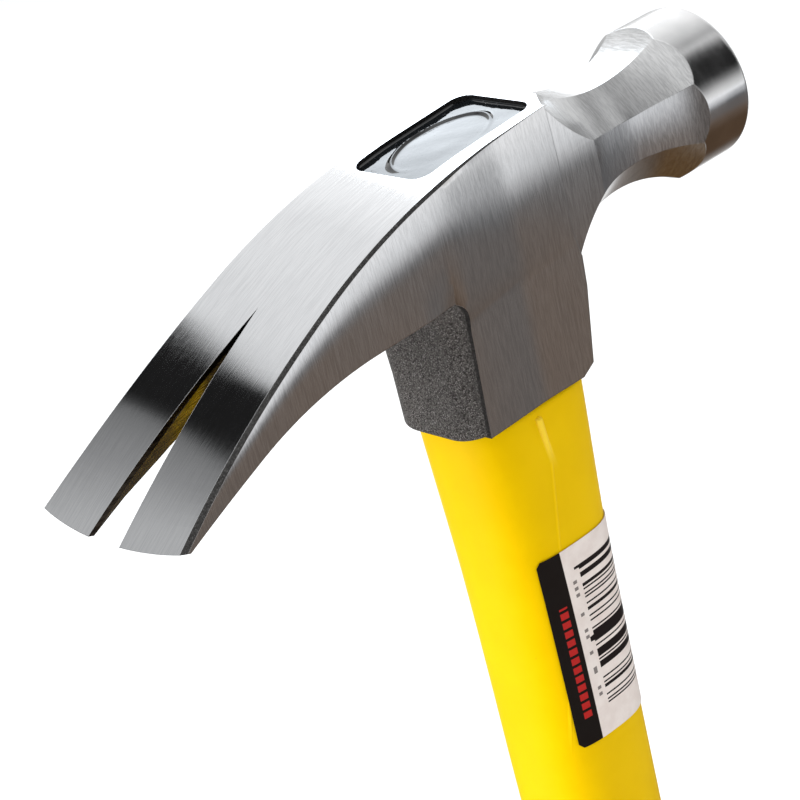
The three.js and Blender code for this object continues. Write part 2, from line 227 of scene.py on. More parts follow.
def claw_top():
    knee = down_bend((KNEE_X, KNEE_X * math.tan(TOP_SLOPE)), KNEE_RADIUS, TOP_SLOPE, KNEE_SLOPE, 30)
    claw = down_bend(knee[-1], CLAW_RADIUS, KNEE_SLOPE, CLAW_SLOPE, 24)
    return run_on(knee + claw[1:], TIP_X - 0.6, CLAW_SLOPE)


def claw_underside():
    bend = down_bend((UNDER_BEND_X, -UNDER_DROP), UNDER_RADIUS, 0.0, UNDER_SLOPE, 24)
    return run_on(bend, TIP_X - 0.6, UNDER_SLOPE)


def height_at(outline, x):
    """Height of an outline whose points run towards -X."""
    xs = [p[0] for p in reversed(outline)]
    zs = [p[1] for p in reversed(outline)]
    return float(np.interp(x, xs, zs))


def top_at(x):
    """Height of the ground top over the whole head, below zero under the eye's top edge."""
    return x * math.tan(TOP_SLOPE) if x > KNEE_X else height_at(claw_top(), x)


def top_half_width(x):
    """Half width of the head under its top edges: flat cheeks, then a flare along the claw."""
    run = max(0.0, -x)
    return CHEEK + 0.0739 * run - 0.00109 * run**2 + 0.00001353 * run**3


def side_body():
    """The side outline of body, claw and skirt, as a thick slab."""
    front = -12.5
    centre_x, centre_z = front - ROOT_FILLET, -UNDER_DROP - ROOT_FILLET
    fillet = [
        (centre_x + ROOT_FILLET * math.cos(a), centre_z + ROOT_FILLET * math.sin(a))
        for a in np.linspace(math.pi / 2, 0, 9)
    ]
    top = [(BODY_REAR, BODY_REAR * math.tan(TOP_SLOPE))] + claw_top()
    under = claw_underside()[::-1]
    skirt = [(-13.6, -SKIRT_DROP), (8.5, -SKIRT_DROP), (11.1, 1.5 - SKIRT_DROP), (13.1, -30), (13.4, -25)]
    outline = top + under + fillet + skirt + [(BODY_REAR, -UNDER_DROP)]
    slots = [TOP] * (len(top) - 1) + [UNDER] * (len(under) + 1) + [ROUGH] * (len(fillet) - 1)
    slots += [ROUGH] * (len(outline) - len(slots) - 2) + [SIDE, SIDE]
    reach = 22.0
    rings = [[(x, y, EYE_TOP + z) for x, z in outline] for y in (reach, -reach)]
    return loft("body", rings, slots, SIDE)


def cheek_envelope():
    """Ground cheeks with the narrow forged strip that is left along the claw's top edge."""
    rings = []
    low, past = -60.0, 2.0
    drop_xs = [-75, -70, -65, -56, -12, BODY_REAR]
    drops = [1.1, 1.0, 0.9, 0.8, 0.6, 0.03]
    for x in np.arange(14.0, -82.0, -1.5):
        half = top_half_width(x)
        step = float(np.interp(x, [-12, BODY_REAR], [0.5, 0.03]))
        drop = float(np.interp(x, drop_xs, drops))
        top = top_at(x)
        tuck = float(np.interp(x, [-20, -14, 0, BODY_REAR], [0.0, 0.8, 0.5, 0.03]))
        crown = cheek_crown(x, top - drop, tuck)
        shoulder = half + step - crown[0][1]
        edge = min(half, shoulder - 0.02)
        high = edge - (shoulder - edge) * past / drop
        right = [(half + step - inset, top - drop - depth) for depth, inset in crown]
        right += [(right[-1][0], low)]
        left = [(-y, z) for y, z in right[::-1]]
        section = [(high, top + past)] + right + left + [(-high, top + past)]
        rings.append([(x, y, EYE_TOP + z) for y, z in section])
    cheek = [SIDE] * len(crown)
    return loft("cheeks", rings, [EDGE] + cheek + [UNDER] + cheek + [EDGE, TOP], SIDE)


def cheek_crown(x, top, tuck):
    """Depth and inset of points down a cheek, which hand grinding leaves slightly rounded.

    The upper part rounds over towards the top, and the lower part tucks in by the given amount.
    """
    tall = 24.0 if x > -14 else max(3.0, top - height_at(claw_underside(), x))
    lean = math.tan(math.radians(5.2)) * float(np.interp(x, [-75, -58], [0.15, 1.0]))
    turn = min(0.52 * tall, float(np.interp(x, [-14, 8], [8.5, 16.0])))
    belly = min(0.12, 0.25 * lean * turn)
    points = []
    for depth in np.linspace(0, turn, 13):
        points.append((depth, lean * turn / 2 * (1 - depth / turn) ** 2 - belly))
    for share in np.linspace(0, 1, 9)[1:]:
        points.append((turn + share * (tall - turn), tuck * share**2 - belly))
    return points


def corner_cutter():
    """What lies outside the rounded far front corner of the cheeks, where they run down the skirt."""
    stations = [
        (50, -8, 2.05, 8.55), (SKIRT_DROP, -8, 2.05, 8.55),
        (30, -10.5, 6.05, 4.6), (24, -10.9, 6.05, 4.6),
    ]
    opening = 1.3
    rings = []
    for drop, x, y, radius in stations:
        arc = []
        for a in np.linspace(math.pi, math.pi / 2, 25):
            share = max(0.0, 3 - 4 * a / math.pi)
            reach = radius + opening * share**2
            arc.append((x + reach * math.cos(a), y + reach * math.sin(a)))
        left, back = x - radius - 3, y + radius + 5
        ring = [(left, back), (left, y)] + arc + [(x, back)]
        rings.append([(px, py, EYE_TOP - drop) for px, py in ring])
    return loft("corner", rings, SIDE, SIDE)


def tip_envelope():
    """Everything behind the curved, bevelled front edge of the claw's tips."""
    reach, far = 18.0, 200.0
    half_angle = math.asin(reach / TIP_RADIUS)
    arc = [
        (TIP_X + TIP_RADIUS * (1 - math.cos(a)), TIP_RADIUS * math.sin(a))
        for a in np.linspace(half_angle, -half_angle, 49)
    ]
    outline = arc + [(far, -reach - 6), (far, reach + 6)]
    rings = []
    for z in (-60.0, 8.0):
        shift = TIP_BEVEL * (z + TIP_DROP)
        rings.append([(x + shift, y, EYE_TOP + z) for x, y in outline])
    return loft("tips", rings, EDGE, EDGE)


def slot_half(x):
    return SLOT_HALF_WIDTH * (SLOT_APEX_X - x) / (SLOT_APEX_X - TIP_X)


def slot_vee():
    end = TIP_X - 10
    vee = [(end, -slot_half(end)), (SLOT_APEX_X, 0.0), (end, slot_half(end))]
    rings = [[(x, y, EYE_TOP + z) for x, y in vee] for z in (-SKIRT_DROP, 1.0)]
    return loft("vee", rings, SLOT, SLOT)


def slot_relief():
    """The wider relief under the upright edges of the slot."""
    xs = [TIP_X - 0.5, -70.0, -60.0, -54.0, -49.0, -45.0, SLOT_APEX_X]
    under = [SLOT_UNDER, SLOT_UNDER, SLOT_UNDER, 4.6, 3.8, 2.5, 0.0]
    top_line, under_line = claw_top(), claw_underside()
    high = [(x, max(slot_half(x), 0.0), height_at(top_line, x) - SLOT_LAND) for x in xs]
    low = [(x, y, height_at(under_line, x) - 0.5) for x, y in zip(xs, under)]

    def ring(side):
        right = [(x, y, EYE_TOP + z) for x, y, z in side]
        return [(x, -y, z) for x, y, z in right[:-1]] + right[::-1]

    return loft("relief", [ring(low), ring(high)], SLOT, SLOT)


def forged_skirt():
    """The socket under the body, from stations (drop, front, rear, far front corner radius)."""
    corner, recess = 4.5, 0.5
    stations = [
        (SKIRT_DROP, -16.5, 12.6, 8.5), (36, -15.6, 13.6, 6.5), (30, -15, 14.3, corner),
        (25, -15.4, 14.5, corner), (23.3, -16, 14.3, corner), (22, -16.9, 14, corner),
        (21, -18, 13.6, corner), (20.2, -19.2, 13, corner), (16, -19.2, 12, corner),
    ]
    rings = [
        rounded_rectangle(front, rear, CHEEK - recess, corner, EYE_TOP - drop, far)
        for drop, front, rear, far in stations
    ]
    return loft("skirt", rings, ROUGH, ROUGH)


def neck_inradius(x):
    return WAIST_INRADIUS + WAIST_HOLLOW - math.sqrt(WAIST_HOLLOW**2 - (x - WAIST_X) ** 2)


def octagonal_neck():
    """An octagon along X whose ground facets are very slightly crowned."""
    rings = []
    for x in np.linspace(BODY_REAR - 0.3, FACE_X + 1, 90):
        inradius = neck_inradius(x)
        half = inradius * math.tan(math.pi / 8)
        ring = []
        for facet in np.arange(8) * math.pi / 4:
            c, s = math.cos(facet), math.sin(facet)
            for t in np.linspace(-1, 1, 9)[:-1]:
                out = inradius * (1 + NECK_CROWN * (1 - t**2))
                ring.append((x, out * c - t * half * s, NECK_AXIS + out * s + t * half * c))
        rings.append(ring)
    return loft("neck", rings, NECK, NECK)


def bell_envelope():
    """A turned shape round the neck's axis: wide over the neck, then the bell and its slightly domed face."""
    wide, tip = 30, 0.01
    profile = [
        (BODY_REAR - 5, tip), (BODY_REAR - 5, wide), (26, wide), (30, BELL_RADIUS), (53.9, BELL_RADIUS),
        (54.5, 13.24), (54.9, 13.05), (55.15, 12.7), (55.25, 12.2), (55.36, 9), (55.45, 6), (FACE_X, 3),
        (FACE_X, tip),
    ]
    rings = [
        [(x, r * math.cos(a), NECK_AXIS + r * math.sin(a)) for a in circle_angles(160)]
        for x, r in profile
    ]
    return loft("bell", rings, BELL, BELL)


def neck_clip():
    """Keeps the neck just inside the ground top and cheeks where it runs into the body."""
    front, split, end = BODY_REAR - 5, 26.0, FACE_X + 5
    under, far, low = 0.03, 30.0, -50.0
    crown = cheek_crown(front, top_at(front), under)[::-1]
    half = top_half_width(BODY_REAR) - 2 * under
    rings = []
    for x in (front, split, split + 0.01, end):
        if x <= split:
            right = [(half - inset, top_at(x) - under - depth) for depth, inset in crown]
        else:
            right = [(far, far - depth) for depth, _ in crown]
        right.insert(0, (right[0][0], low))
        left = [(-y, z) for y, z in right[::-1]]
        rings.append([(x, y, EYE_TOP + z) for y, z in right + left])
    side = [SIDE] * len(crown)
    return loft("clip", rings, side + [TOP] + side + [NECK], NECK)


def eye_hole():
    half = EYE_LENGTH / 2
    ends = (EYE_TOP - 60, EYE_TOP + 8)
    rings = [rounded_rectangle(-half, half, EYE_WIDTH / 2, EYE_CORNER, z) for z in ends]
    return loft("eye", rings, WALL, WALL)


def hammer_head():
    """The whole forging as one mesh."""
    head = combine(side_body(), cheek_envelope(), "INTERSECT")
    combine(head, corner_cutter(), "DIFFERENCE")
    combine(head, tip_envelope(), "INTERSECT")
    combine(head, slot_vee(), "DIFFERENCE")
    combine(head, slot_relief(), "DIFFERENCE")
    combine(head, forged_skirt(), "UNION")
    neck = combine(octagonal_neck(), bell_envelope(), "INTERSECT")
    combine(neck, neck_clip(), "INTERSECT")
    combine(head, neck, "UNION")
    combine(head, eye_hole(), "DIFFERENCE")
    head.name = "forged_head"
    smooth_by_angle(head, 14)
    return head


# ---- handle shapes ----

# Superellipse sections up the handle: height, half length, half width, exponent, centre.
JACKET = [
    (JACKET_BOTTOM, 10.4, 9.4, 2.6, 0.0), (130, 10.4, 9.4, 2.6, 0.0), (160, 10.7, 9.8, 2.7, -0.2),
    (214, 11.1, 10.2, 2.9, -0.6), (234, 11.2, 10.3, 3.0, -0.6), (254, 11.45, 10.3, 3.2, -0.6),
    (269, 11.9, 10.3, 3.6, -0.6), (JACKET_TOP, 12.1, 10.3, 4.6, -0.6),
]


def jacket():
    """The moulded jacket, rounded over at its top, with its gate mark."""
    steps = 90
    heights = list(np.linspace(JACKET_BOTTOM, JACKET_TOP - 1.2, steps))
    heights += [JACKET_TOP - drop for drop in (0.7, 0.3, 0.1, 0.0)]
    insets = [0.0] * steps + [0.06, 0.22, 0.42, 0.7]
    rings = [
        [section_point(smooth_station(JACKET, z), a, z, -inset) for a in circle_angles(128)]
        for z, inset in zip(heights, insets)
    ]
    body = loft("jacket", rings)
    combine(body, mould_rib(), "UNION")
    smooth_by_angle(body, 30)
    return body


def mould_rib():
    """The gate mark under the head: a slim rounded rib that sinks into the jacket."""
    rings = []
    sunk, buried = 0.06, 1
    for share in np.linspace(0, 1, 17):
        z = RIB_TOP - RIB_LENGTH + RIB_LENGTH * share
        end = math.sqrt(max(0.0, 1 - max(0.0, (share - 0.92) / 0.08) ** 2))
        half = (0.35 + 0.45 * share) * (0.25 + 0.75 * end)
        proud = 0.5 * min(1.0, share * 1.4) * (0.15 + 0.85 * end)
        x = -1.1 - 1.2 * share
        surface = section_point(smooth_station(JACKET, z), 1.5 * math.pi, z)[1]
        arch = [
            (x - half * math.cos(a), surface + sunk - (proud + sunk) * math.sin(a), z)
            for a in np.linspace(0, math.pi, 9)
        ]
        rings.append(arch + [(x + half, surface + buried, z), (x - half, surface + buried, z)])
    return loft("rib", rings)


def label():
    """The wrapped label, with its own across and along measures for the print."""
    angles = np.linspace(label_start(), 2 * math.pi + 0.03, 60)
    heights = np.linspace(LABEL_TOP - LABEL_LENGTH, LABEL_TOP, 41)
    thickness, lift = 0.1, 0.14
    middle = smooth_station(JACKET, LABEL_TOP - LABEL_LENGTH / 2)
    path = np.array([section_point(middle, a, 0.0, lift) for a in angles])
    across = np.concatenate([[0], np.cumsum(np.linalg.norm(np.diff(path, axis=0), axis=1))])
    points, faces, measures = [], [], []
    for layer in (lift + thickness, lift):
        for z in heights:
            for a, s in zip(angles, across):
                along = LABEL_TOP - z
                points.append(section_point(smooth_station(JACKET, z), a + corner_turn(s, along), z, layer))
                measures.append((s, along))
    rows, columns = len(heights), len(angles)
    size = rows * columns
    for r in range(rows - 1):
        for c in range(columns - 1):
            i = r * columns + c
            faces.append((i, i + 1, i + columns + 1, i + columns))
            faces.append((size + i, size + i + columns, size + i + columns + 1, size + i + 1))
    faces += edge_wall(grid_border(rows, columns), size)
    sheet = make_object("barcode_sticker", points, faces, smooth_angle=40)
    for name, column in (("across", 0), ("along", 1)):
        attribute = sheet.data.attributes.new(name, "FLOAT", "POINT")
        attribute.data.foreach_set("value", np.array([m[column] for m in measures], dtype=np.float32))
    return sheet


def corner_turn(across, along):
    """How far, in radians, the label's rounded corners draw its first edge back round the jacket."""
    corner, jacket_radius, fade = 1.0, 11.0, 3
    nearest = min(along, LABEL_LENGTH - along)
    cut = corner - math.sqrt(max(0.0, corner**2 - max(0.0, corner - nearest) ** 2))
    return cut * max(0.0, 1 - across / fade) / jacket_radius


def label_start():
    """The angle at which the label's long edge lies on the -Y side."""
    edge_x = -8.7
    a, _, n, x = smooth_station(JACKET, LABEL_TOP)
    return 2 * math.pi - math.acos(-(((x - edge_x) / a) ** (n / 2)))


def pool_surface(x, y, half_x, half_y):
    """Height of the poured surface, with a low ridge over the handle's end and a rim at the walls."""
    ring = math.hypot((x + 0.4) / 9.6, y / 5.9)
    side = 0.5 + 0.5 * math.tanh((y + 0.25 * x) / 2.5)
    ridge = 0.42 * side * math.exp(-(((ring - 1) / 0.055) ** 2))
    dome = 0.12 * math.exp(-((ring / 0.8) ** 4))
    wall = min(half_x - abs(x), half_y - abs(y))
    wet = 0.3 * math.exp(-wall / 0.22)
    wave = 0.02 * math.sin(0.9 * x + 0.6) * math.sin(0.8 * y + 1.1)
    return EYE_TOP - POOL_DEPTH + POOL_RISE + top_at(x) + ridge + dome + wet + wave


def pull_in_corner(x, y, half_x, half_y, corner):
    """Moves a point of a square-cornered grid so that the grid's corners come out rounded."""
    over_x = abs(x) - (half_x - corner)
    over_y = abs(y) - (half_y - corner)
    if over_x <= 0 or over_y <= 0:
        return x, y
    reach = max(over_x, over_y) / math.hypot(over_x, over_y)
    px = math.copysign(half_x - corner + over_x * reach, x)
    py = math.copysign(half_y - corner + over_y * reach, y)
    return px, py


def epoxy_pool():
    """The resin that fills the eye round the core."""
    clearance = 0.03
    half_x, half_y = EYE_LENGTH / 2 - clearance, EYE_WIDTH / 2 - clearance
    corner = EYE_CORNER - clearance
    columns, rows = 150, 100
    points, faces = [], []
    for y in np.linspace(-half_y, half_y, rows):
        for x in np.linspace(-half_x, half_x, columns):
            px, py = pull_in_corner(x, y, half_x, half_y, corner)
            points.append((px, py, pool_surface(px, py, half_x, half_y)))
    top_count = len(points)
    points += [(x, y, EYE_TOP - SKIRT_DROP) for x, y, _ in points]
    for r in range(rows - 1):
        for c in range(columns - 1):
            i = r * columns + c
            faces.append((i, i + 1, i + columns + 1, i + columns))
    border = grid_border(rows, columns)
    faces += edge_wall(border, top_count)
    faces.append(tuple(top_count + i for i in reversed(border)))
    used = sorted(set(i for f in faces for i in f))
    renumber = {old: new for new, old in enumerate(used)}
    faces = [tuple(renumber[i] for i in f) for f in faces]
    return make_object("epoxy_pool", [points[i] for i in used], faces, smooth_angle=50)


# ---- material helpers ----

class Shader:
    """A short way to write a node material."""

    def __init__(self, name):
        self.material = bpy.data.materials.new(name)
        self.material.use_nodes = True
        self.nodes = self.material.node_tree.nodes
        self.links = self.material.node_tree.links
        self.bsdf = self.nodes["Principled BSDF"]
        self.position = self.add("ShaderNodeTexCoord").outputs["Object"]

    def add(self, kind, **settings):
        node = self.nodes.new(kind)
        for key, value in settings.items():
            setattr(node, key, value)
        return node

    def plug(self, socket, value):
        if isinstance(value, bpy.types.NodeSocket):
            self.links.new(value, socket)
        else:
            socket.default_value = value

    def set(self, **values):
        for key, value in values.items():
            self.plug(self.bsdf.inputs[key.replace("_", " ")], value)

    def math(self, operation, a, b=0.0, clamp=False):
        node = self.add("ShaderNodeMath", operation=operation, use_clamp=clamp)
        self.plug(node.inputs[0], a)
        self.plug(node.inputs[1], b)
        return node.outputs[0]

    def noise(self, scale, stretch=(1, 1, 1), detail=4.0, roughness=0.55, shift=(0, 0, 0)):
        mapping = self.add("ShaderNodeMapping")
        self.plug(mapping.inputs["Vector"], self.position)
        mapping.inputs["Scale"].default_value = stretch
        mapping.inputs["Location"].default_value = shift
        node = self.add("ShaderNodeTexNoise")
        self.plug(node.inputs["Vector"], mapping.outputs[0])
        node.inputs["Scale"].default_value = scale
        node.inputs["Detail"].default_value = detail
        node.inputs["Roughness"].default_value = roughness
        return node.outputs["Fac"]

    def ramp(self, value, low, high, out_low=0.0, out_high=1.0):
        node = self.add("ShaderNodeMapRange", interpolation_type="SMOOTHSTEP")
        for socket, v in zip(node.inputs[:5], (value, low, high, out_low, out_high)):
            self.plug(socket, v)
        return node.outputs[0]

    def mix(self, factor, a, b):
        node = self.add("ShaderNodeMix", data_type="RGBA")
        self.plug(node.inputs["Factor"], factor)
        for socket, value in ((node.inputs[6], a), (node.inputs[7], b)):
            self.plug(socket, (*value, 1.0) if isinstance(value, tuple) else value)
        return node.outputs[2]

    def band(self, value, rise_low, rise_high, fall_low, fall_high):
        """1 between a rise and a fall, 0 outside them."""
        return self.math(
            "MULTIPLY", self.ramp(value, rise_low, rise_high), self.ramp(value, fall_low, fall_high, 1.0, 0.0)
        )

    def axis(self, index):
        """One coordinate in millimetres."""
        node = self.add("ShaderNodeSeparateXYZ")
        self.plug(node.inputs[0], self.position)
        return self.math("MULTIPLY", node.outputs[index], 1000.0)

    def attribute(self, name):
        return self.add("ShaderNodeAttribute", attribute_name=name).outputs["Fac"]

    def bump(self, height, distance, edge=None):
        """Bump, on top of edges rounded by the given radius in metres."""
        node = self.add("ShaderNodeBump")
        node.inputs["Strength"].default_value = 1.0
        node.inputs["Distance"].default_value = distance
        self.plug(node.inputs["Height"], height)
        if edge:
            bevel = self.add("ShaderNodeBevel", samples=4)
            bevel.inputs["Radius"].default_value = edge
            self.plug(node.inputs["Normal"], bevel.outputs[0])
        self.plug(self.bsdf.inputs["Normal"], node.outputs[0])

    def tangent(self, direction):
        node = self.add("ShaderNodeCombineXYZ")
        for socket, value in zip(node.inputs, direction):
            socket.default_value = value
        self.plug(self.bsdf.inputs["Tangent"], node.outputs[0])


def grained_steel(name, stretch, color, dark, roughness, anisotropy, across):
    """Ground steel. The grain is noise drawn out along the grinding direction."""
    depth, edge = 0.000002, 0.00018
    s = Shader(name)
    fine = s.noise(1.0, stretch, detail=2, roughness=0.6)
    coarse = s.noise(1.0, tuple(v * 0.5 for v in stretch), detail=1, shift=(3, 5, 7))
    cloud = s.noise(90, detail=2, shift=(9, 1, 4))
    grain = s.math("ADD", s.math("MULTIPLY", fine, 0.75), s.math("MULTIPLY", coarse, 0.25))
    uneven = s.ramp(cloud, 0.3, 0.7, 0.93 * roughness, 1.07 * roughness)
    s.set(
        Base_Color=s.mix(s.ramp(grain, 0.36, 0.62), dark, color),
        Metallic=1.0,
        Roughness=s.math("ADD", uneven, s.ramp(fine, 0.3, 0.7, -0.01, 0.02)),
        Anisotropic=anisotropy,
    )
    s.tangent(across)
    s.bump(fine, depth, edge=edge)
    return s.material


def forged_scale(name, color, light, roughness, depth):
    """Shot-blasted forging skin: coarse bumps with small painted glints, which are bright specks in the base
    colour.
    """
    groove_shade_color = (0.02, 0.019, 0.018)
    speck = tuple(min(1.0, 2.6 * c) for c in light)
    s = Shader(name)
    lumps = s.noise(3000, detail=3, roughness=0.7)
    glint = s.noise(5200, detail=1, shift=(4, 4, 4))
    blotch = s.noise(260, detail=3, shift=(1, 8, 2))
    base = s.mix(s.ramp(lumps, 0.34, 0.68), color, light)
    # Painted highlight: bright specks mixed into the base colour stand in for the skin's sparkle.
    base = s.mix(s.math("MULTIPLY", s.ramp(glint, 0.58, 0.68), 0.85), base, speck)
    # Painted shade: the base colour goes towards near-black where |y| passes 10.75 mm, for the shadow in the
    # groove where the skin meets a ground cheek. Faces of this material further out, such as the forged edge
    # strip, are darkened by it too.
    groove = s.ramp(s.math("ABSOLUTE", s.axis(1)), 10.75, 11.0)
    s.set(
        Base_Color=s.mix(s.math("MULTIPLY", groove, 0.7), base, groove_shade_color),
        Metallic=0.6,
        Roughness=s.ramp(blotch, 0.3, 0.7, roughness - 0.06, roughness + 0.06),
    )
    s.bump(lumps, depth, edge=0.0003)
    return s.material


def polished_steel():
    s = Shader("steel_bell")
    rings = s.noise(1.0, (5200, 260, 260), detail=3, roughness=0.65)
    smear = s.noise(160, detail=2)
    s.set(
        Base_Color=s.mix(s.ramp(smear, 0.3, 0.7), (0.66, 0.665, 0.67), (0.74, 0.74, 0.745)),
        Metallic=1.0,
        Roughness=s.math("ADD", s.ramp(smear, 0.3, 0.7, 0.12, 0.17), s.ramp(rings, 0.3, 0.7, -0.02, 0.04)),
        Anisotropic=0.3,
    )
    s.tangent((1, 0, 0))
    s.bump(rings, 0.000006, edge=0.0003)
    return s.material


def leaning_strip(s, foot, foot_x, lean, inner, outer):
    """1 along a straight line on the -Y side that passes foot_x at height foot, 0 away from it."""
    x, y, z = s.axis(0), s.axis(1), s.axis(2)
    line = s.math("ADD", s.math("MULTIPLY", s.math("SUBTRACT", z, foot), lean), foot_x)
    away = s.math("ABSOLUTE", s.math("SUBTRACT", x, line))
    return s.math("MULTIPLY", s.ramp(away, inner, outer, 1.0, 0.0), s.ramp(y, -9.0, -8.0, 1.0, 0.0))


def yellow_plastic():
    s = Shader("yellow_jacket_plastic")
    z = s.axis(2)
    cloud = s.noise(120, detail=3)
    peel = s.noise(900, detail=2, shift=(2, 2, 2))
    speck = s.noise(700, detail=0, shift=(6, 1, 3))
    # The parting line leans towards -X on its way down.
    seam = leaning_strip(s, EYE_TOP - 57.0, -1.75, 0.155, 0.1, 0.42)
    seam = s.math("MULTIPLY", seam, s.ramp(z, EYE_TOP - 56, EYE_TOP - 54, 1.0, 0.0))
    # The gate mark is stretched paler than the jacket round it.
    mark = leaning_strip(s, RIB_TOP - RIB_LENGTH, -1.1, -0.146, 0.45, 0.85)
    mark = s.math("MULTIPLY", mark, s.band(z, EYE_TOP - 57, EYE_TOP - 51, RIB_TOP - 0.4, RIB_TOP))
    base = s.mix(s.ramp(cloud, 0.3, 0.7), (0.74, 0.46, 0.0), (0.77, 0.485, 0.0))
    base = s.mix(s.ramp(speck, 0.88, 0.9), base, (0.25, 0.2, 0.02))
    base = s.mix(s.math("MULTIPLY", mark, 0.5), base, (1.0, 0.72, 0.08))
    s.set(
        Base_Color=s.mix(s.math("MULTIPLY", seam, 0.35), base, (0.95, 0.62, 0.01)),
        Roughness=s.ramp(cloud, 0.3, 0.7, 0.32, 0.4),
        Specular_IOR_Level=0.06,
        Specular_Tint=(1.0, 0.8, 0.1, 1.0),
        Subsurface_Weight=0.08,
        Subsurface_Scale=0.002,
    )
    s.bsdf.inputs["Subsurface Radius"].default_value = (1.0, 0.6, 0.05)
    s.bump(s.math("ADD", s.math("MULTIPLY", peel, 0.12), seam), 0.00008)
    return s.material


def black_epoxy():
    s = Shader("black_epoxy_resin")
    cloud = s.noise(300, detail=3)
    dust = s.noise(2600, detail=1, shift=(1, 2, 3))
    s.set(
        Base_Color=s.mix(s.ramp(dust, 0.68, 0.76), (0.004, 0.005, 0.006), (0.05, 0.05, 0.055)),
        Roughness=s.math("ADD", s.ramp(cloud, 0.3, 0.7, 0.03, 0.07), s.ramp(dust, 0.66, 0.76, 0.0, 0.25)),
        IOR=1.56,
    )
    s.bump(cloud, 0.00004)
    return s.material


def black_rubber():
    s = Shader("black_grip_rubber")
    grain = s.noise(2600, detail=3)
    cloud = s.noise(60, detail=3, shift=(5, 5, 5))
    s.set(
        Base_Color=s.mix(s.ramp(cloud, 0.3, 0.7), (0.013, 0.013, 0.014), (0.02, 0.02, 0.022)),
        Roughness=s.ramp(grain, 0.3, 0.7, 0.5, 0.66),
        Specular_IOR_Level=0.4,
    )
    s.bump(grain, 0.00008)
    return s.material


def bonded_fibre():
    s = Shader("fibreglass_rod")
    strand = s.noise(1.0, (3000, 3000, 25), detail=3)
    s.set(
        Base_Color=s.mix(s.ramp(strand, 0.35, 0.65), (0.55, 0.5, 0.3), (0.75, 0.71, 0.5)),
        Roughness=0.45,
    )
    s.bump(strand, 0.00003)
    return s.material


def label_print():
    """Printed film: a black strip with plain red blocks, then generic bars stacked along the handle."""
    s = Shader("label_print")
    across, along = s.attribute("across"), s.attribute("along")

    def between(value, low, high, soft=0.06):
        """1 between two places, with soft edges."""
        return s.band(value, low - soft, low + soft, high - soft, high + soft)

    def random_steps(step, seed):
        """One random number for each step along the label."""
        node = s.add("ShaderNodeTexWhiteNoise", noise_dimensions="1D")
        s.plug(node.inputs["W"], s.math("ADD", s.math("FLOOR", s.math("DIVIDE", along, step)), seed))
        return node.outputs["Value"]

    module, first, last = 0.301, 3.5, 32.1
    middle, guard = (first + last) / 2, 0.9
    bars = s.math("GREATER_THAN", random_steps(module, 17.0), 0.5)
    guards = s.math("ADD", between(along, first, first + guard), between(along, last - guard, last))
    guards = s.math("ADD", guards, between(along, middle - 0.5, middle + 0.5), clamp=True)
    reach = s.math("SUBTRACT", 7.6, s.math("MULTIPLY", guards, 0.9))
    inside = s.math("MULTIPLY", s.math("GREATER_THAN", across, reach), between(along, first, last, 0.02))
    black = s.math("MULTIPLY", bars, inside)
    ticks = s.math("GREATER_THAN", random_steps(0.62, 5.0), 0.55)
    ticks = s.math("MULTIPLY", between(across, 5.9, 6.7), ticks)
    ticks = s.math("MULTIPLY", ticks, between(along, first + 2.2, last - 2.2))
    strip = s.ramp(across, 4.62, 4.72, 1.0, 0.0)
    blocks = s.math("LESS_THAN", s.math("FRACT", s.math("DIVIDE", along, 1.75)), 0.7)
    blocks = s.math("MULTIPLY", between(across, 2.0, 3.6), blocks)
    blocks = s.math("MULTIPLY", blocks, between(along, 9.6, 31.0))
    paper_noise = s.noise(400, detail=3)
    color = s.mix(s.ramp(paper_noise, 0.3, 0.7), (0.70, 0.61, 0.56), (0.76, 0.68, 0.63))
    color = s.mix(s.math("MULTIPLY", ticks, 0.75), color, (0.03, 0.02, 0.02))
    color = s.mix(black, color, (0.012, 0.008, 0.008))
    color = s.mix(strip, color, (0.01, 0.007, 0.006))
    color = s.mix(s.math("MULTIPLY", strip, blocks), color, (0.42, 0.012, 0.01))
    s.set(Base_Color=color, Roughness=s.ramp(paper_noise, 0.3, 0.7, 0.3, 0.4), Specular_IOR_Level=0.15)
    s.bump(paper_noise, 0.00001)
    return s.material


def pale_floor():
    s = Shader("pale_floor")
    s.set(Base_Color=(0.95, 0.95, 0.95, 1.0), Roughness=0.6, Specular_IOR_Level=0.1)
    return s.material


def glow(name, color, strength):
    s = Shader(name)
    s.set(
        Base_Color=(0, 0, 0, 1),
        Emission_Color=color,
        Emission_Strength=strength,
        Specular_IOR_Level=0.0,
    )
    return s.material


def head_materials():
    """One material for each slot number, in order."""
    x, y = (1, 0, 0), (0, 1, 0)
    ground = {
        TOP: ("steel_top", (220, 5200, 220), (0.70, 0.71, 0.725), (0.625, 0.635, 0.65), 0.062, 0.8, y),
        SIDE: ("steel_cheek", (6000, 6000, 300), (0.71, 0.71, 0.705), (0.59, 0.59, 0.585), 0.15, 0.7, x),
        NECK: ("steel_neck", (4600, 600, 600), (0.69, 0.695, 0.70), (0.56, 0.565, 0.57), 0.2, 0.4, x),
        SLOT: ("steel_slot", (400, 400, 3000), (0.13, 0.12, 0.1), (0.03, 0.028, 0.025), 0.25, 0.2, x),
        UNDER: ("steel_underside", (160, 3000, 160), (0.5, 0.49, 0.48), (0.33, 0.32, 0.31), 0.3, 0.3, y),
    }
    forged = {
        EDGE: ("steel_forged_edge", (0.06, 0.058, 0.056), (0.19, 0.185, 0.18), 0.42, 0.00006),
        ROUGH: ("steel_forged_skin", (0.05, 0.046, 0.043), (0.24, 0.225, 0.214), 0.5, 0.00012),
        WALL: ("steel_eye_wall", (0.004, 0.004, 0.004), (0.02, 0.02, 0.02), 0.3, 0.0003),
    }
    made = {BELL: polished_steel()}
    for slot, look in ground.items():
        made[slot] = grained_steel(*look)
    for slot, look in forged.items():
        made[slot] = forged_scale(*look)
    return [made[slot] for slot in range(SLOT_COUNT)]


# ---- pieces ----

